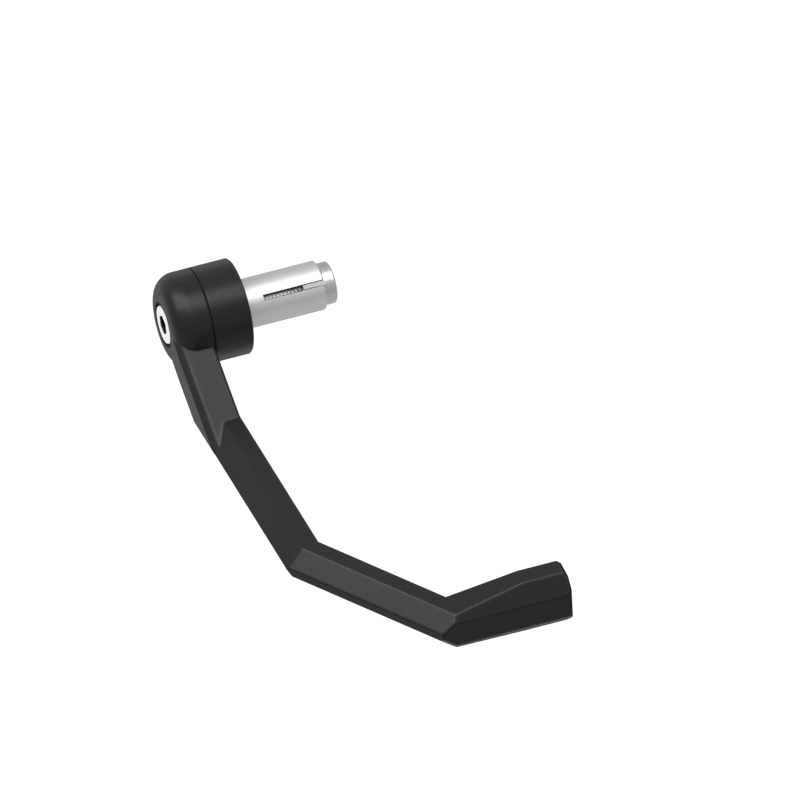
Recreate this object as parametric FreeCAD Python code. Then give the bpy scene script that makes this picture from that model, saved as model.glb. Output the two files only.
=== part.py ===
import FreeCAD, Part
import math
import os

from FreeCAD import Placement, Rotation, Vector

# A lever guard for a motorcycle handlebar: a bent arm moulded in one piece with its bar-end hub,
# a spacer, and the screw, split sleeve and wedge nut that fix it in the hollow bar.
# Frame: origin on the bar's axis at the bar's end face, X along the bar towards the rider's hand grip,
# forward is -Y, Z up. The blade lies level.

# Hub and spacer
HUB_RADIUS = 16.0
HUB_LENGTH = 12.4
HUB_ROUNDING = 7.0
ROUNDING_ANGLE = 3.0
SPACER_LENGTH = 13.4
SPACER_BEVEL = 0.4

# Clamp screw with a cylindrical socket head
SCREW_RADIUS = 4.0
SCREW_LENGTH = 50.0
SCREW_TIP_BEVEL = 0.8
HEAD_RADIUS = 6.5
HEAD_HEIGHT = 8.0
HEAD_EDGE = 0.3
HEX_ACROSS_FLATS = 6.0
HEX_DEPTH = 4.0
HEX_ANGLE = 18.0
HEAD_CLEARANCE = 0.5
SCREW_CLEARANCE = 0.25
THREAD_CLEARANCE = 0.05

# Expander in the bar's bore
SLEEVE_RADIUS = 8.25
SLEEVE_LENGTH = 28.0
SLEEVE_SLOTS = 4
SLOT_WIDTH = 2.0
SLOT_LENGTH = 21.0
SLOT_ANGLE = 45.0
TAPER_DEPTH = 12.0
TAPER_MOUTH_RADIUS = 7.1
TAPER_CLEARANCE = 0.1
NUT_NOSE_LENGTH = 7.2
NUT_COLLAR_LENGTH = 4.0
LUG_CLEARANCE = 0.3
EXPANDER_EDGE = 0.5

# Arm root: a bar that slopes down from the hub towards the front and leans slightly inboard
ARM_ANGLE = 2.4
ROOT_SLOPE = 32.5
ROOT_HEIGHT = 13.4
ROOT_RISE = 1.5
ROOT_BEVEL = 2.0
ROOT_EDGE = 1.2
ROOT_SETBACK = 0.5
ROOT_LENGTH = 21.0

# Blade: level, bent twice in plan, with a bevelled outer side
BLADE_HEIGHT = 14.0
SIDE_LENGTH = 67.7
SIDE_THICKNESS = 12.4
SIDE_BEVEL = 6.3
UNDERCUT_ANGLE = 60.0
SLANT_LENGTH = 50.6
SLANT_ANGLE = 35.3
SLANT_THICKNESS = 11.4
FRONT_LENGTH = 39.6
FRONT_THICKNESS = 12.2
BEVEL_ANGLE = 45.0
SLANT_BEVEL = 5.5
FRONT_FACE_HEIGHT = 9.6
FLARE_LENGTH = 24.5
FLARE_RISE = 3.3
TIP_BEVEL = 1.5
ARM_EDGE = 0.8

# Places that follow from the sizes
JOINT_X = -SPACER_LENGTH
HUB_END_X = JOINT_X - HUB_LENGTH
HEAD_SEAT_X = HUB_END_X + HEAD_HEIGHT
HOLE_RADIUS = SCREW_RADIUS + SCREW_CLEARANCE
COUNTERBORE_RADIUS = HEAD_RADIUS + HEAD_CLEARANCE
SLOPE = math.radians(ROOT_SLOPE)
ROOT_TOP = ROOT_RISE + ROOT_HEIGHT / 2
RIM_DROP = HUB_RADIUS * math.tan(SLOPE)
BLADE_TOP = (ROOT_TOP - ROOT_LENGTH * math.sin(SLOPE)) / math.cos(SLOPE) - RIM_DROP
BLADE_MIDDLE = BLADE_TOP - BLADE_HEIGHT / 2
BLADE_BOTTOM = BLADE_TOP - BLADE_HEIGHT
REACH_PAST = 4 * SIDE_LENGTH
SAME_LENGTH = 0.001
ALONG_BAR = Vector(1, 0, 0)


# A point of the plan: along the bar and forward of its axis
def plan(x, forward):
    return Vector(x, -forward, 0)


# The plan direction that turns inboard from straight ahead
def heading(turn):
    return plan(math.sin(math.radians(turn)), math.cos(math.radians(turn)))


# The plan direction square to a heading, towards the outer side
def outward(turn):
    return plan(-math.cos(math.radians(turn)), math.sin(math.radians(turn)))


# Where two lines of the plan cross, each given by a point and a turn
def crossing(point_a, turn_a, point_b, turn_b):
    along_a = heading(turn_a)
    across_b = outward(turn_b)
    distance = (point_b - point_a).dot(across_b) / along_a.dot(across_b)
    return point_a + along_a * distance


def at_height(point, z):
    return Vector(point.x, point.y, z)


def prism(points, direction):
    return Part.Face(Part.makePolygon(points + points[:1])).extrude(direction)


# A round solid turned about the bar's axis from points of (x, radius)
def turned(points):
    profile = [Vector(x, radius, 0) for x, radius in points]
    face = Part.Face(Part.makePolygon(profile + profile[:1]))
    return face.revolve(Vector(0, 0, 0), ALONG_BAR, 360)


def rod(radius, start_x, end_x):
    return Part.makeCylinder(radius, end_x - start_x, Vector(start_x, 0, 0), ALONG_BAR)


# Everything on the far side of a plane, as one large wedge of a solid to cut with
def beyond(point, normal):
    block = Part.makeBox(REACH_PAST, REACH_PAST, REACH_PAST, Vector(-REACH_PAST / 2, -REACH_PAST / 2, 0))
    block.Placement = Placement(point, Rotation(Vector(0, 0, 1), normal))
    return block


# The hub's half section, with the screw's hole and counterbore, is drawn on the rear side and turned.
# Its rounding leaves the flat end at a small angle and runs out level with the rim.
def make_hub():
    leave = math.radians(ROUNDING_ANGLE)
    centre = Vector(HUB_END_X + HUB_ROUNDING * math.cos(leave), HUB_RADIUS - HUB_ROUNDING, 0)

    def on_rounding(angle):
        return centre + Vector(-math.cos(angle), math.sin(angle), 0) * HUB_ROUNDING

    rim = on_rounding(math.pi / 2)
    flat_edge = on_rounding(leave)
    arc = Part.Arc(flat_edge, on_rounding((leave + math.pi / 2) / 2), rim)
    corners = [
        rim,
        Vector(JOINT_X, HUB_RADIUS, 0),
        Vector(JOINT_X, HOLE_RADIUS, 0),
        Vector(HEAD_SEAT_X, HOLE_RADIUS, 0),
        Vector(HEAD_SEAT_X, COUNTERBORE_RADIUS, 0),
        Vector(HUB_END_X, COUNTERBORE_RADIUS, 0),
        flat_edge,
    ]
    edges = [arc.toShape()] + [Part.makeLine(a, b) for a, b in zip(corners, corners[1:])]
    return Part.Face(Part.Wire(edges)).revolve(Vector(0, 0, 0), ALONG_BAR, 360)


# Unit vectors of the sloping root: along it, and square to its top face
ROOT_AHEAD = heading(ARM_ANGLE) * math.cos(SLOPE) - Vector(0, 0, math.sin(SLOPE))
ROOT_UP = heading(ARM_ANGLE) * math.sin(SLOPE) + Vector(0, 0, math.cos(SLOPE))

# Where the line that slopes down from the bar's axis leaves the hub's rim, at the joint with the spacer
RIM = plan(JOINT_X, HUB_RADIUS)
RIM_BELOW = at_height(RIM, -RIM_DROP)


# The root starts just clear of the counterbore and runs down its slope, with its long edges rounded
def make_root():
    half = ROOT_HEIGHT / 2
    section = [(0, half), (SIDE_THICKNESS - ROOT_BEVEL, half), (SIDE_THICKNESS, half - ROOT_BEVEL)]
    section += [(out, -up) for out, up in reversed(section)]
    back = HUB_RADIUS / math.cos(SLOPE) - COUNTERBORE_RADIUS - ROOT_SETBACK
    corner = RIM_BELOW - ROOT_AHEAD * back
    points = [corner + outward(ARM_ANGLE) * out + ROOT_UP * (ROOT_RISE + up) for out, up in section]
    length = back + (ROOT_LENGTH + SIDE_THICKNESS) / math.cos(SLOPE)
    root = prism(points, ROOT_AHEAD * length)
    long_edges = [edge for edge in root.Edges if abs(edge.Length - length) < SAME_LENGTH]
    rounded = root.makeFillet(ROOT_EDGE, long_edges)
    return rounded.cut(beyond(Vector(HUB_END_X, 0, 0), -ALONG_BAR))


# Inner corners of the blade in plan, from the fold to the tip
FOLD = RIM + heading(ARM_ANGLE) * ROOT_LENGTH
FIRST_BEND = FOLD + heading(ARM_ANGLE) * SIDE_LENGTH
SECOND_BEND = FIRST_BEND + heading(SLANT_ANGLE) * SLANT_LENGTH
FRONT_ANGLE = 90.0
TIP = SECOND_BEND + heading(FRONT_ANGLE) * FRONT_LENGTH

# Outer lines of the blade in plan
SIDE_OUTER = FOLD + outward(ARM_ANGLE) * SIDE_THICKNESS
SLANT_OUTER = FIRST_BEND + outward(SLANT_ANGLE) * SLANT_THICKNESS
FRONT_OUTER = SECOND_BEND + outward(FRONT_ANGLE) * FRONT_THICKNESS


# What an outer bevel takes off above the line where it reaches a stretch's outer face
def upper_cut(outer_point, turn, z):
    tilt = math.radians(BEVEL_ANGLE)
    return beyond(at_height(outer_point, z), outward(turn) * math.sin(tilt) + Vector(0, 0, math.cos(tilt)))


# The same below, with the bevel's own angle
def lower_cut(outer_point, turn, z, angle):
    tilt = math.radians(angle)
    return beyond(at_height(outer_point, z), outward(turn) * math.sin(tilt) - Vector(0, 0, math.cos(tilt)))


# The side stretch comes to a ridge, and the other stretches keep a flat outer face
RIDGE_Z = BLADE_TOP - SIDE_BEVEL
SLANT_FACE = BLADE_HEIGHT / 2 - SLANT_BEVEL
FRONT_FACE = FRONT_FACE_HEIGHT / 2
SIDE_UNDERCUT = lower_cut(SIDE_OUTER, ARM_ANGLE, RIDGE_Z, UNDERCUT_ANGLE)
BLADE_CUTS = [
    upper_cut(SIDE_OUTER, ARM_ANGLE, RIDGE_Z),
    SIDE_UNDERCUT,
    upper_cut(SLANT_OUTER, SLANT_ANGLE, BLADE_MIDDLE + SLANT_FACE),
    lower_cut(SLANT_OUTER, SLANT_ANGLE, BLADE_MIDDLE - SLANT_FACE, BEVEL_ANGLE),
    upper_cut(FRONT_OUTER, FRONT_ANGLE, BLADE_MIDDLE + FRONT_FACE),
    lower_cut(FRONT_OUTER, FRONT_ANGLE, BLADE_MIDDLE - FRONT_FACE, BEVEL_ANGLE),
]
ROOT_UNDERSIDE = beyond(RIM_BELOW + ROOT_UP * (ROOT_RISE - ROOT_HEIGHT / 2), -ROOT_UP)


# The front stretch grows taller towards the tip: a block of its plan, cut by a ramp above and below
def make_flare():
    tall = BLADE_HEIGHT / 2 + FLARE_RISE
    bevel_width = (BLADE_HEIGHT - FRONT_FACE_HEIGHT) / 2 * math.tan(math.radians(BEVEL_ANGLE))
    slant_width = SLANT_BEVEL * math.tan(math.radians(BEVEL_ANGLE))
    slant_edge = SLANT_OUTER - outward(SLANT_ANGLE) * slant_width
    front_edge = FRONT_OUTER - outward(FRONT_ANGLE) * bevel_width
    corner = crossing(slant_edge, SLANT_ANGLE, front_edge, FRONT_ANGLE)
    outer_bend = crossing(SLANT_OUTER, SLANT_ANGLE, FRONT_OUTER, FRONT_ANGLE)
    outline = [SECOND_BEND, TIP, TIP + outward(FRONT_ANGLE) * FRONT_THICKNESS, outer_bend, corner]
    flare = prism([at_height(p, BLADE_MIDDLE - tall) for p in outline], Vector(0, 0, 2 * tall))
    across = corner - SECOND_BEND
    for side in (1, -1):
        rise = heading(FRONT_ANGLE) * FLARE_LENGTH + Vector(0, 0, side * FLARE_RISE)
        normal = rise.cross(across)
        if normal.z * side < 0:
            normal = -normal
        flare = flare.cut(beyond(at_height(SECOND_BEND, BLADE_MIDDLE + side * BLADE_HEIGHT / 2), normal))
        tip_edge = at_height(TIP, BLADE_MIDDLE + side * (tall - TIP_BEVEL))
        flare = flare.cut(beyond(tip_edge, ALONG_BAR + Vector(0, 0, side)))
    tip_corner = TIP + outward(FRONT_ANGLE) * (FRONT_THICKNESS - TIP_BEVEL)
    return flare, beyond(tip_corner, ALONG_BAR + outward(FRONT_ANGLE))


# The blade is level between its bends, with its outer side bevelled above and below
def make_blade():
    start = FOLD - heading(ARM_ANGLE) * (BLADE_HEIGHT / 2)
    outline = [
        start,
        FIRST_BEND,
        SECOND_BEND,
        TIP,
        TIP + outward(FRONT_ANGLE) * FRONT_THICKNESS,
        crossing(SLANT_OUTER, SLANT_ANGLE, FRONT_OUTER, FRONT_ANGLE),
        crossing(SIDE_OUTER, ARM_ANGLE, SLANT_OUTER, SLANT_ANGLE),
        start + outward(ARM_ANGLE) * SIDE_THICKNESS,
    ]
    level = prism([at_height(p, BLADE_BOTTOM) for p in outline], Vector(0, 0, BLADE_HEIGHT))
    flare, tip_cut = make_flare()
    blade = level.fuse(flare).removeSplitter().cut(BLADE_CUTS + [tip_cut])
    edges = [edge for edge in blade.Edges if edge.CenterOfMass.y < FOLD.y]
    return blade.makeFillet(ARM_EDGE, edges).cut(ROOT_UNDERSIDE)


def make_guard_arm():
    level_underside = beyond(Vector(0, 0, BLADE_BOTTOM), Vector(0, 0, -1))
    root = make_root().cut([SIDE_UNDERCUT, level_underside])
    return make_hub().fuse([root, make_blade()]).removeSplitter()


def make_end_spacer():
    edge_radius = HUB_RADIUS - SPACER_BEVEL
    outside = [(JOINT_X, edge_radius), (JOINT_X + SPACER_BEVEL, HUB_RADIUS)]
    outside += [(-SPACER_BEVEL, HUB_RADIUS), (0, edge_radius)]
    return turned([(JOINT_X, HOLE_RADIUS)] + outside + [(0, HOLE_RADIUS)])


def make_clamp_screw():
    tip_x = HEAD_SEAT_X + SCREW_LENGTH
    body = turned([
        (HUB_END_X, 0),
        (HUB_END_X, HEAD_RADIUS - HEAD_EDGE),
        (HUB_END_X + HEAD_EDGE, HEAD_RADIUS),
        (HEAD_SEAT_X, HEAD_RADIUS),
        (HEAD_SEAT_X, SCREW_RADIUS),
        (tip_x - SCREW_TIP_BEVEL, SCREW_RADIUS),
        (tip_x, SCREW_RADIUS - SCREW_TIP_BEVEL),
        (tip_x, 0),
    ])
    corner_radius = HEX_ACROSS_FLATS / math.sqrt(3)
    corners = []
    for index in range(6):
        angle = math.radians(HEX_ANGLE + 60 * index)
        corners.append(Vector(HUB_END_X, corner_radius * math.cos(angle), corner_radius * math.sin(angle)))
    return body.cut(prism(corners, ALONG_BAR * HEX_DEPTH))


# Radius of the sleeve's taper at a distance in from its mouth
def taper_radius(depth):
    return TAPER_MOUTH_RADIUS - (TAPER_MOUTH_RADIUS - HOLE_RADIUS) * depth / TAPER_DEPTH


def make_expander_sleeve():
    taper_x = SLEEVE_LENGTH - TAPER_DEPTH
    sleeve = turned([
        (0, HOLE_RADIUS),
        (0, SLEEVE_RADIUS),
        (SLEEVE_LENGTH - EXPANDER_EDGE, SLEEVE_RADIUS),
        (SLEEVE_LENGTH, SLEEVE_RADIUS - EXPANDER_EDGE),
        (SLEEVE_LENGTH, TAPER_MOUTH_RADIUS),
        (taper_x, HOLE_RADIUS),
    ])
    slots = []
    for index in range(SLEEVE_SLOTS):
        slot = Part.makeBox(SLOT_LENGTH, SLOT_WIDTH, SLEEVE_RADIUS + SLOT_WIDTH)
        slot.translate(Vector(SLEEVE_LENGTH - SLOT_LENGTH, -SLOT_WIDTH / 2, 0))
        slot.rotate(Vector(0, 0, 0), ALONG_BAR, SLOT_ANGLE + 360 / SLEEVE_SLOTS * index)
        slots.append(slot)
    return sleeve.cut(slots)


def make_wedge_nut():
    bore = SCREW_RADIUS + THREAD_CLEARANCE
    nose_x = SLEEVE_LENGTH - NUT_NOSE_LENGTH
    end_x = SLEEVE_LENGTH + NUT_COLLAR_LENGTH
    mouth = taper_radius(0) - TAPER_CLEARANCE
    nut = turned([
        (nose_x, bore),
        (nose_x, taper_radius(NUT_NOSE_LENGTH) - TAPER_CLEARANCE),
        (SLEEVE_LENGTH, mouth),
        (end_x - EXPANDER_EDGE, mouth),
        (end_x, mouth - EXPANDER_EDGE),
        (end_x, bore),
    ])
    lug_width = SLOT_WIDTH - 2 * LUG_CLEARANCE
    lug = Part.makeBox(NUT_NOSE_LENGTH, lug_width, 2 * SLEEVE_RADIUS - 2 * EXPANDER_EDGE)
    lug.translate(Vector(nose_x, -lug_width / 2, -SLEEVE_RADIUS + EXPANDER_EDGE))
    lug.rotate(Vector(0, 0, 0), ALONG_BAR, SLOT_ANGLE)
    lugs = lug.cut(rod(bore, nose_x, end_x))
    return nut.fuse(lugs).removeSplitter()


PIECES = {
    "guard_arm": make_guard_arm,
    "end_spacer": make_end_spacer,
    "clamp_screw": make_clamp_screw,
    "expander_sleeve": make_expander_sleeve,
    "wedge_nut": make_wedge_nut,
}

os.makedirs("parts", exist_ok=True)
for name, make in PIECES.items():
    shape = make()
    shape.exportStep("parts/" + name + ".step")
    print(name, "solids", len(shape.Solids), "valid", shape.isValid(), "volume %.1f" % shape.Volume)
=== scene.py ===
import math

import bmesh
import bpy
from mathutils import Matrix, Vector


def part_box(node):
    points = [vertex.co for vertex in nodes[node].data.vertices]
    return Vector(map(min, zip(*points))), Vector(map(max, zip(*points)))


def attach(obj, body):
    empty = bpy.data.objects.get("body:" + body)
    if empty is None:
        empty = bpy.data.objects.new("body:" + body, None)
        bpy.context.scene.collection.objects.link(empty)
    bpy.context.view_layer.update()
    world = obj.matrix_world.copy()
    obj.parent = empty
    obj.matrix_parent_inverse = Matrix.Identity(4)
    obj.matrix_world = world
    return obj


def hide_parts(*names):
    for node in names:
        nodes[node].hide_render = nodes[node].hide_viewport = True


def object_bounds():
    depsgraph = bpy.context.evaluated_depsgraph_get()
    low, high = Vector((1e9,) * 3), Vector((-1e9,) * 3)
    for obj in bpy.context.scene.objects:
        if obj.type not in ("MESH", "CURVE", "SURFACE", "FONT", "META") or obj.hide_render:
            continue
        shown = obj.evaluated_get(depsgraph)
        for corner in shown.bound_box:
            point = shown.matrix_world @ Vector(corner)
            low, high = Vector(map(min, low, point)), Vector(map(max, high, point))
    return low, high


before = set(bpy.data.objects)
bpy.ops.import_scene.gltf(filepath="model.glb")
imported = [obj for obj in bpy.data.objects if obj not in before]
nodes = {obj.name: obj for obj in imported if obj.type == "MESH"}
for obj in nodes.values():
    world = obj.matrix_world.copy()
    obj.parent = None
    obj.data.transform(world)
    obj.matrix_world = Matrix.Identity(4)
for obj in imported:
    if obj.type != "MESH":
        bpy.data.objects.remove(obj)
cad_low, cad_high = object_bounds()

# View of the object: an orthographic camera, with the middle of its frame at a point of the row frame
VIEW_MIDDLE = Vector((0.04447, -0.02858, -0.03175))
VIEW_WIDTH = 0.2595
VIEW_DISTANCE = 1.0
VIEW_TURN = math.radians(48.0)
VIEW_ASIDE = 0.230
VIEW_ROLL = math.radians(14.42)

# Floor and light, in metres and as strengths where 1 is white
WHITE = (1.0, 1.0, 1.0, 1.0)
FLOOR_DROP = 0.32
FLOOR_SIZE = 30.0
FLOOR_COLOUR = 0.3
FLOOR_FILL = 0.72
AMBIENT = 0.22
SOFTBOX_PLACE = Vector((-0.554, -0.14, 1.6))
SOFTBOX_TARGET = Vector((0.006, -0.12, 0.0))
SOFTBOX_SIZE = (3.0, 1.2)
SOFTBOX_TURN = math.radians(24.0)
SOFTBOX_POWER = 78.0

# Noise is spread out between these two levels, where most of it lies
NOISE_LOW = 0.3
NOISE_HIGH = 0.7

# Satin finish of the black mouldings, with noise scales in counts per metre
PLASTIC_COLOUR = 0.0078
FLOW_SHADES = (0.9, 1.12)
FLOW_SCALE = 45.0
COARSE_SCALE = 700.0
FINE_SCALE = 2600.0
GRAIN = 0.000006
COARSE_STRENGTH = 0.5
FINE_STRENGTH = 0.8
PLASTIC_GLOSS = 0.14
PLASTIC_ROUGHNESS = 0.33
PLASTIC_SPREAD = 0.03
GRAZING_ROUGHNESS = 0.65
GRAZING_SPAN = (0.55, 0.95)

# Edges of the mouldings, where the rounded and the flat normal differ
EDGE_WIDTH = 0.0016
EDGE_SAMPLES = 6
EDGE_LIKENESS = (0.94, 0.998)

# Upper edges that face forward get a painted highlight, pale and patchy, and are glossier. The spans are
# in parts of the edge's direction.
EDGE_HIGHLIGHT_COLOUR = 0.06
POLISHED_ROUGHNESS = 0.12
HIGHLIGHT_LEAST = 0.75
UPPER_SPAN = (0.55, 0.75)
FORWARD_SPAN = (-0.38, -0.14)

# Lower edges, the bevels of the arm's tip and the rim of the screw's seat are painted dark as shade and
# made dull;
# the joint of hub and spacer is a dark joint
SHADE_AND_JOINT_COLOUR = 0.0005
DULL_ROUGHNESS = 0.95
TIP_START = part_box("guard_arm")[1].x - 0.004
TIP_BEVEL_FROM = (0.4, 0.6)
TIP_BEVEL_TO = (0.8, 0.95)
SEAT_RADIUS = 0.0073
SEAT_SHADE = 0.0008
JOINT_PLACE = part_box("end_spacer")[0].x
JOINT_RADIUS = 0.01605
JOINT_WIDTH = 0.00015
JOINT_SHADE = 0.0003

# The lower outer edge of the arm's front is painted pale as a highlight. The front is a span of Y, and the
# others are of the edge's direction.
LOWER_HIGHLIGHT_COLOUR = 0.6
LOWER_HIGHLIGHT_FRONT_SPAN = (-0.154, -0.150)
LOWER_HIGHLIGHT_LOWER_SPAN = (-0.12, -0.03)
LOWER_HIGHLIGHT_OUTER_SPAN = (-0.75, -0.55)

# The hub's own edges, behind this stretch of Y, stay plain
HUB_SPAN = (-0.018, -0.014)

# Turned metals, with noise scales in counts per metre
RING_SCALE = 9000.0
RING_STRENGTH = 0.5
BAND_SCALE = 1800.0
METAL_SPREAD = 0.05
CLOUD_SCALE = 220.0
CLOUD_SHADE = 0.93

# Clamp screw: its head and socket, painted shade in the socket and on the side of its head, and its rolled
# M8 thread
HEAD_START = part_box("clamp_screw")[0].x
HEAD_END = HEAD_START + 0.0080
HEAD_FACE_RADIUS = 0.00635
SOCKET_RADIUS = 0.0036
SOCKET_DEPTH = 0.0045
SOCKET_SHADE_COLOUR = 0.10
SOCKET_SHADE_SPAN = (HEAD_START + 0.0001, HEAD_START + 0.0008)
SCREW_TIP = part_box("clamp_screw")[1].x
POINT_BEVEL = 0.0008
THREAD_RADIUS = 0.0040
THREAD_DEPTH = 0.00075
THREAD_PITCH = 0.00125
THREAD_END = SCREW_TIP - POINT_BEVEL
THREAD_START = SCREW_TIP - 0.0280
CREST_SHARE = 0.125
ROOT_SHARE = 0.25
THREAD_ROWS = 12
THREAD_COLUMNS = 32
SHARP_ANGLE = math.radians(35.0)
SAME_PLACE = 0.000002


class Nodes:
    """A material's or the world's node tree, with short calls to add and join nodes."""

    def __init__(self, tree):
        self.tree = tree
        tree.nodes.clear()

    def add(self, kind, **settings):
        node = self.tree.nodes.new(kind)
        for name, value in settings.items():
            setattr(node, name, value)
        return node

    def join(self, source, target):
        self.tree.links.new(source, target)

    def put(self, target, value):
        if isinstance(value, bpy.types.NodeSocket):
            self.join(value, target)
        else:
            target.default_value = value

    def math(self, operation, first, second=0.0):
        node = self.add("ShaderNodeMath", operation=operation)
        self.put(node.inputs[0], first)
        self.put(node.inputs[1], second)
        return node.outputs[0]

    def times(self, first, second):
        return self.math("MULTIPLY", first, second)

    def noise(self, vector, scale, detail=2.0, roughness=0.5):
        node = self.add("ShaderNodeTexNoise")
        self.join(vector, node.inputs["Vector"])
        node.inputs["Scale"].default_value = scale
        node.inputs["Detail"].default_value = detail
        node.inputs["Roughness"].default_value = roughness
        return node.outputs["Fac"]

    def line_noise(self, position, scale, detail=3.0):
        node = self.add("ShaderNodeTexNoise", noise_dimensions="1D")
        self.join(position, node.inputs["W"])
        node.inputs["Scale"].default_value = scale
        node.inputs["Detail"].default_value = detail
        return node.outputs["Fac"]

    # From low to high while the value goes from start to end
    def span(self, value, low, high, start=NOISE_LOW, end=NOISE_HIGH):
        node = self.add("ShaderNodeMapRange")
        self.join(value, node.inputs["Value"])
        node.inputs["From Min"].default_value = start
        node.inputs["From Max"].default_value = end
        node.inputs["To Min"].default_value = low
        node.inputs["To Max"].default_value = high
        return node.outputs["Result"]

    def ramp(self, value, low, high):
        node = self.add("ShaderNodeValToRGB")
        self.join(value, node.inputs["Fac"])
        first, last = node.color_ramp.elements
        first.position = NOISE_LOW
        first.color = low
        last.position = NOISE_HIGH
        last.color = high
        return node.outputs["Color"]

    # A mix of colours, whose sockets stand after those for numbers and vectors
    def mix(self, factor, first, second):
        node = self.add("ShaderNodeMix", data_type="RGBA")
        self.put(node.inputs[0], factor)
        self.put(node.inputs[6], first)
        self.put(node.inputs[7], second)
        return node.outputs[2]

    def bump(self, height, distance, strength, below=None):
        node = self.add("ShaderNodeBump")
        self.join(height, node.inputs["Height"])
        node.inputs["Distance"].default_value = distance
        node.inputs["Strength"].default_value = strength
        if below is not None:
            self.join(below, node.inputs["Normal"])
        return node.outputs["Normal"]

    # The X, Y and Z of a vector
    def parts(self, vector):
        node = self.add("ShaderNodeSeparateXYZ")
        self.join(vector, node.inputs["Vector"])
        return node.outputs

    # Distance from the bar's axis
    def radius(self, place):
        y_square = self.math("POWER", place["Y"], 2.0)
        z_square = self.math("POWER", place["Z"], 2.0)
        return self.math("SQRT", self.math("ADD", y_square, z_square))

    # A mask that is one at a sharp edge and nothing at a distance from it, and the edge's own direction
    def edge_mask(self):
        rounded = self.add("ShaderNodeBevel", samples=EDGE_SAMPLES)
        rounded.inputs["Radius"].default_value = EDGE_WIDTH
        flat = self.add("ShaderNodeNewGeometry")
        likeness = self.add("ShaderNodeVectorMath", operation="DOT_PRODUCT")
        self.join(rounded.outputs["Normal"], likeness.inputs[0])
        self.join(flat.outputs["Normal"], likeness.inputs[1])
        mask = self.span(likeness.outputs["Value"], 1.0, 0.0, *EDGE_LIKENESS)
        return mask, self.parts(rounded.outputs["Normal"])


def new_material(name):
    material = bpy.data.materials.new(name)
    material.use_nodes = True
    return material, Nodes(material.node_tree)


def grey(level):
    return (level, level, level, 1.0)


# Masks on a moulding of the painted edge highlight, of the painted shade with the dark joint, and of the
# painted lower highlight
def edge_light_and_shade(n, where):
    edge, direction = n.edge_mask()
    place = n.parts(where)
    clear_of_hub = n.span(place["Y"], 1.0, 0.0, *HUB_SPAN)
    open_edge = n.times(edge, clear_of_hub)
    upper_edge = n.times(open_edge, n.span(direction["Z"], 0.0, 1.0, *UPPER_SPAN))
    # Upper edges facing forward, towards the light: a painted highlight, and a glossier finish
    highlight_and_polish = n.times(upper_edge, n.span(direction["Y"], 1.0, 0.0, *FORWARD_SPAN))
    lower_edge = n.math("SUBTRACT", open_edge, upper_edge)
    near_tip = n.math("GREATER_THAN", place["X"], TIP_START)
    off_the_sides = n.span(direction["X"], 0.0, 1.0, *TIP_BEVEL_FROM)
    off_the_end = n.span(direction["X"], 1.0, 0.0, *TIP_BEVEL_TO)
    tip_bevel = n.times(near_tip, n.times(off_the_sides, off_the_end))
    radius = n.radius(place)
    seat_shade = n.span(radius, 1.0, 0.0, SEAT_RADIUS, SEAT_RADIUS + SEAT_SHADE)
    from_joint = n.math("ABSOLUTE", n.math("SUBTRACT", place["X"], JOINT_PLACE))
    beside_joint = n.span(from_joint, 1.0, 0.0, JOINT_WIDTH, JOINT_WIDTH + JOINT_SHADE)
    joint = n.times(beside_joint, n.math("LESS_THAN", radius, JOINT_RADIUS))
    # Painted shade on the lower edges, on the tip's bevels and round the screw's seat, together with the
    # dark joint
    shaded_edge = n.math("MAXIMUM", lower_edge, tip_bevel)
    shade_and_joint = n.math("MAXIMUM", n.math("MAXIMUM", shaded_edge, seat_shade), joint)
    # Painted highlight along the lower outer edge of the arm's front
    front_edge = n.times(edge, n.span(place["Y"], 1.0, 0.0, *LOWER_HIGHLIGHT_FRONT_SPAN))
    front_lower = n.times(front_edge, n.span(direction["Z"], 1.0, 0.0, *LOWER_HIGHLIGHT_LOWER_SPAN))
    lower_highlight = n.times(front_lower, n.span(direction["Y"], 1.0, 0.0, *LOWER_HIGHLIGHT_OUTER_SPAN))
    return highlight_and_polish, shade_and_joint, lower_highlight


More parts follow.
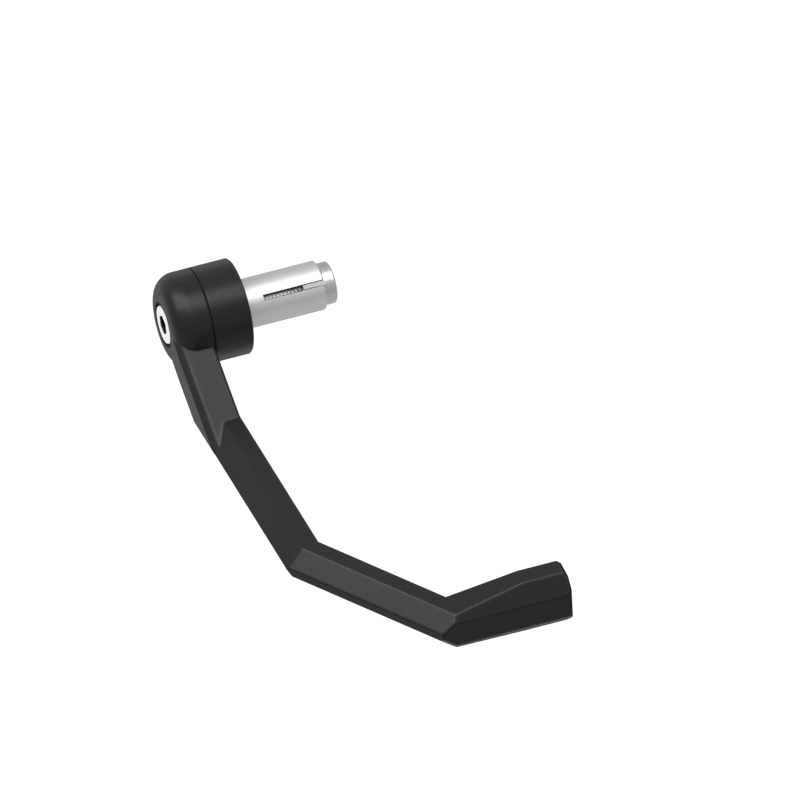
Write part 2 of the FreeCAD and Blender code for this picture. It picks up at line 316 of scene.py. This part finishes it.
# Satin black moulding: a fine spark-eroded grain, faint flow shading, slightly uneven gloss, painted
# highlights and painted shade on its edges, and a dark joint
def moulded_plastic(name):
    material, n = new_material(name)
    where = n.add("ShaderNodeTexCoord").outputs["Object"]
    flow = n.noise(where, FLOW_SCALE, detail=3.0)
    fine = n.noise(where, FINE_SCALE, roughness=0.6)
    coarse = n.noise(where, COARSE_SCALE)
    highlight_and_polish, shade_and_joint, lower_highlight = edge_light_and_shade(n, where)
    dark, light = (grey(PLASTIC_COLOUR * shade) for shade in FLOW_SHADES)
    # The painted highlight on the upper forward edges, patchy along them
    patchy_highlight = n.times(highlight_and_polish, n.span(coarse, HIGHLIGHT_LEAST, 1.0))
    highlit = n.mix(patchy_highlight, n.ramp(flow, dark, light), grey(EDGE_HIGHLIGHT_COLOUR))
    # Painted shade, with the dark joint, in a near-black colour
    with_shade_and_joint = n.mix(shade_and_joint, highlit, grey(SHADE_AND_JOINT_COLOUR))
    uneven = n.span(coarse, PLASTIC_ROUGHNESS - PLASTIC_SPREAD, PLASTIC_ROUGHNESS + PLASTIC_SPREAD)
    polish = n.times(highlight_and_polish, PLASTIC_ROUGHNESS - POLISHED_ROUGHNESS)
    facing = n.add("ShaderNodeLayerWeight").outputs["Facing"]
    grazing = n.span(facing, 0.0, GRAZING_ROUGHNESS - PLASTIC_ROUGHNESS, *GRAZING_SPAN)
    dulling = n.times(shade_and_joint, DULL_ROUGHNESS - PLASTIC_ROUGHNESS)
    rough = n.math("ADD", n.math("SUBTRACT", uneven, polish), n.math("MAXIMUM", grazing, dulling))
    texture = n.bump(coarse, GRAIN * 2.0, COARSE_STRENGTH)
    shader = n.add("ShaderNodeBsdfPrincipled")
    shader.inputs["Specular IOR Level"].default_value = PLASTIC_GLOSS
    # The painted highlight on the lower outer front edge goes over the rest
    n.join(n.mix(lower_highlight, with_shade_and_joint, grey(LOWER_HIGHLIGHT_COLOUR)), shader.inputs["Base Color"])
    n.join(rough, shader.inputs["Roughness"])
    n.join(n.bump(fine, GRAIN, FINE_STRENGTH, texture), shader.inputs["Normal"])
    output = n.add("ShaderNodeOutputMaterial")
    n.join(shader.outputs["BSDF"], output.inputs["Surface"])
    return material


# A mask of painted shade in the screw's socket and on the side of its head, from just behind its face
def socket_shade_places(n, place, radius):
    in_socket = n.math("LESS_THAN", radius, SOCKET_RADIUS)
    on_side = n.math("GREATER_THAN", radius, HEAD_FACE_RADIUS)
    behind_face = n.span(place["X"], 0.0, 1.0, *SOCKET_SHADE_SPAN)
    before_end = n.math("LESS_THAN", place["X"], HEAD_START + SOCKET_DEPTH)
    return n.times(n.times(n.math("MAXIMUM", in_socket, on_side), behind_face), before_end)


# Turned metal: fine rings about the bar's axis, on end faces and round faces alike
def turned_metal(name, colour, roughness, ring_depth, socket_shade=False):
    material, n = new_material(name)
    where = n.add("ShaderNodeTexCoord").outputs["Object"]
    place = n.parts(where)
    radius = n.radius(place)
    station = n.math("ADD", radius, place["X"])
    rings = n.line_noise(station, RING_SCALE)
    bands = n.line_noise(station, BAND_SCALE)
    cloud = n.noise(where, CLOUD_SCALE, detail=3.0)
    clouded = tuple(CLOUD_SHADE * level for level in colour)
    tint = n.ramp(cloud, (*clouded, 1.0), (*colour, 1.0))
    # On the screw, the socket and the side of the head are painted dark as shade
    if socket_shade:
        tint = n.mix(socket_shade_places(n, place, radius), tint, grey(SOCKET_SHADE_COLOUR))
    shader = n.add("ShaderNodeBsdfPrincipled")
    shader.inputs["Metallic"].default_value = 1.0
    n.join(tint, shader.inputs["Base Color"])
    n.join(n.span(bands, roughness - METAL_SPREAD, roughness + METAL_SPREAD), shader.inputs["Roughness"])
    n.join(n.bump(rings, ring_depth, RING_STRENGTH), shader.inputs["Normal"])
    output = n.add("ShaderNodeOutputMaterial")
    n.join(shader.outputs["BSDF"], output.inputs["Surface"])
    return material


FINISHES = {
    "guard_arm": moulded_plastic("arm_satin_black"),
    "end_spacer": moulded_plastic("spacer_satin_black"),
    "clamp_screw": turned_metal(
        "screw_bright_steel", colour=(0.72, 0.72, 0.71), roughness=0.22, ring_depth=0.00001, socket_shade=True),
    "expander_sleeve": turned_metal(
        "sleeve_turned_aluminium", colour=(0.40, 0.41, 0.42), roughness=0.48, ring_depth=0.00003),
    "wedge_nut": turned_metal(
        "nut_zinc_steel", colour=(0.34, 0.34, 0.35), roughness=0.36, ring_depth=0.00002),
}
for name, material in FINISHES.items():
    mesh = nodes[name].data
    for index in range(len(mesh.materials)):
        mesh.materials[index] = material


def within_one(value):
    return min(1.0, max(0.0, value))


# Depth of the thread at a place on the shank, as a share: flat crests, flat roots and sloping flanks.
# It runs out towards both ends.
def thread_share(x, angle):
    phase = (x / THREAD_PITCH - angle / (2 * math.pi)) % 1.0
    flank_width = (1.0 - CREST_SHARE - ROOT_SHARE) / 2
    flank = within_one((abs(phase - 0.5) - CREST_SHARE / 2) / flank_width)
    from_ends = min(x - THREAD_START, THREAD_END - x)
    return flank * within_one(from_ends / THREAD_PITCH)


def shank_radius(x, angle):
    if x == SCREW_TIP:
        return THREAD_RADIUS - POINT_BEVEL
    return THREAD_RADIUS - THREAD_DEPTH * thread_share(x, angle)


# The shank as rings of points from just past the head to the tip, closed at the tip
def add_shank(bm):
    count = round((THREAD_END - THREAD_START) / THREAD_PITCH * THREAD_ROWS)
    step = (THREAD_END - THREAD_START) / count
    threaded = [THREAD_START + step * row for row in range(count + 1)]
    stations = [HEAD_END + THREAD_PITCH] + threaded + [SCREW_TIP]
    rings = []
    for x in stations:
        ring = []
        for column in range(THREAD_COLUMNS):
            angle = 2 * math.pi * column / THREAD_COLUMNS
            radius = shank_radius(x, angle)
            ring.append(bm.verts.new((x, radius * math.cos(angle), radius * math.sin(angle))))
        rings.append(ring)
    for before, after in zip(rings, rings[1:]):
        for column in range(THREAD_COLUMNS):
            following = (column + 1) % THREAD_COLUMNS
            bm.faces.new((before[column], before[following], after[following], after[column]))
    bm.faces.new(rings[-1])


# The screw keeps its head's own mesh, and a threaded shank takes the place of the plain one
def make_screw():
    mesh = nodes["clamp_screw"].data.copy()
    mesh.name = "clamp_screw_threaded"
    if "custom_normal" in mesh.attributes:
        mesh.attributes.remove(mesh.attributes["custom_normal"])
    bm = bmesh.new()
    bm.from_mesh(mesh)
    bmesh.ops.remove_doubles(bm, verts=bm.verts, dist=SAME_PLACE)
    past_head = [face for face in bm.faces if face.calc_center_median().x > HEAD_END + SAME_PLACE]
    bmesh.ops.delete(bm, geom=past_head, context="FACES")
    add_shank(bm)
    open_edges = [edge for edge in bm.edges if edge.is_boundary]
    bmesh.ops.bridge_loops(bm, edges=open_edges)
    bmesh.ops.recalc_face_normals(bm, faces=bm.faces)
    for face in bm.faces:
        face.smooth = True
    bm.to_mesh(mesh)
    bm.free()
    mesh.set_sharp_from_angle(angle=SHARP_ANGLE)
    screw = bpy.data.objects.new("clamp_screw_threaded", mesh)
    bpy.context.scene.collection.objects.link(screw)
    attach(screw, "root")
    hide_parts("clamp_screw")


# One where a ray comes from the camera, a reflection or a transmission
def seen_rays(n):
    path = n.add("ShaderNodeLightPath")
    seen = n.math("MAXIMUM", path.outputs["Is Camera Ray"], path.outputs["Is Glossy Ray"])
    return n.math("MAXIMUM", seen, path.outputs["Is Transmission Ray"])


# White surroundings where they are seen, and a lower even light on the object
def make_world():
    world = bpy.data.worlds.new("studio")
    world.use_nodes = True
    bpy.context.scene.world = world
    n = Nodes(world.node_tree)
    background = n.add("ShaderNodeBackground")
    background.inputs["Color"].default_value = WHITE
    n.join(n.span(seen_rays(n), AMBIENT, 1.0, 0.0, 1.0), background.inputs["Strength"])
    output = n.add("ShaderNodeOutputWorld")
    n.join(background.outputs["Background"], output.inputs["Surface"])


# Pale floor, filled up towards white where it is seen, so that it still takes a shadow
def make_floor():
    material, n = new_material("floor_pale")
    matt = n.add("ShaderNodeBsdfDiffuse")
    matt.inputs["Color"].default_value = grey(FLOOR_COLOUR)
    fill = n.add("ShaderNodeEmission")
    fill.inputs["Color"].default_value = WHITE
    n.join(n.times(seen_rays(n), FLOOR_FILL), fill.inputs["Strength"])
    both = n.add("ShaderNodeAddShader")
    n.join(matt.outputs["BSDF"], both.inputs[0])
    n.join(fill.outputs["Emission"], both.inputs[1])
    output = n.add("ShaderNodeOutputMaterial")
    n.join(both.outputs["Shader"], output.inputs["Surface"])
    half = FLOOR_SIZE / 2
    level = cad_low.z - FLOOR_DROP
    corners = [(-half, -half, level), (half, -half, level), (half, half, level), (-half, half, level)]
    mesh = bpy.data.meshes.new("floor")
    mesh.from_pydata(corners, [], [(0, 1, 2, 3)])
    mesh.materials.append(material)
    floor = bpy.data.objects.new("floor", mesh)
    bpy.context.scene.collection.objects.link(floor)


# A soft box that faces its target, with its long side turned from the bar's direction
def make_softbox():
    lamp = bpy.data.lights.new("softbox_overhead", "AREA")
    lamp.shape = "RECTANGLE"
    lamp.size, lamp.size_y = SOFTBOX_SIZE
    lamp.energy = SOFTBOX_POWER
    softbox = bpy.data.objects.new("softbox_overhead", lamp)
    away = (SOFTBOX_PLACE - SOFTBOX_TARGET).normalized()
    long_side = Vector((math.cos(SOFTBOX_TURN), -math.sin(SOFTBOX_TURN), 0.0))
    across = away.cross(long_side).normalized()
    facing = Matrix((across.cross(away), across, away)).transposed().to_4x4()
    softbox.matrix_world = Matrix.Translation(SOFTBOX_PLACE) @ facing
    softbox.visible_camera = False
    bpy.context.scene.collection.objects.link(softbox)


# The camera's own axes follow from its turn about the bar, its swing aside and its roll
def make_camera():
    ahead = math.sqrt(1.0 - VIEW_ASIDE ** 2)
    towards = Vector((0.0, -math.sin(VIEW_TURN), math.cos(VIEW_TURN)))
    downward = Vector((0.0, -math.cos(VIEW_TURN), -math.sin(VIEW_TURN)))
    sideways = Vector((ahead, 0.0, 0.0)) + towards * VIEW_ASIDE
    back = towards * ahead - Vector((VIEW_ASIDE, 0.0, 0.0))
    right = sideways * math.cos(VIEW_ROLL) + downward * math.sin(VIEW_ROLL)
    up = sideways * math.sin(VIEW_ROLL) - downward * math.cos(VIEW_ROLL)
    data = bpy.data.cameras.new("camera")
    data.type = "ORTHO"
    data.ortho_scale = VIEW_WIDTH
    camera = bpy.data.objects.new("camera", data)
    turn = Matrix((right, up, back)).transposed().to_4x4()
    camera.matrix_world = Matrix.Translation(VIEW_MIDDLE + back * VIEW_DISTANCE) @ turn
    bpy.context.scene.collection.objects.link(camera)
    bpy.context.scene.camera = camera


make_screw()
make_world()
make_floor()
make_softbox()
make_camera()
bpy.context.scene.view_settings.view_transform = "Standard"
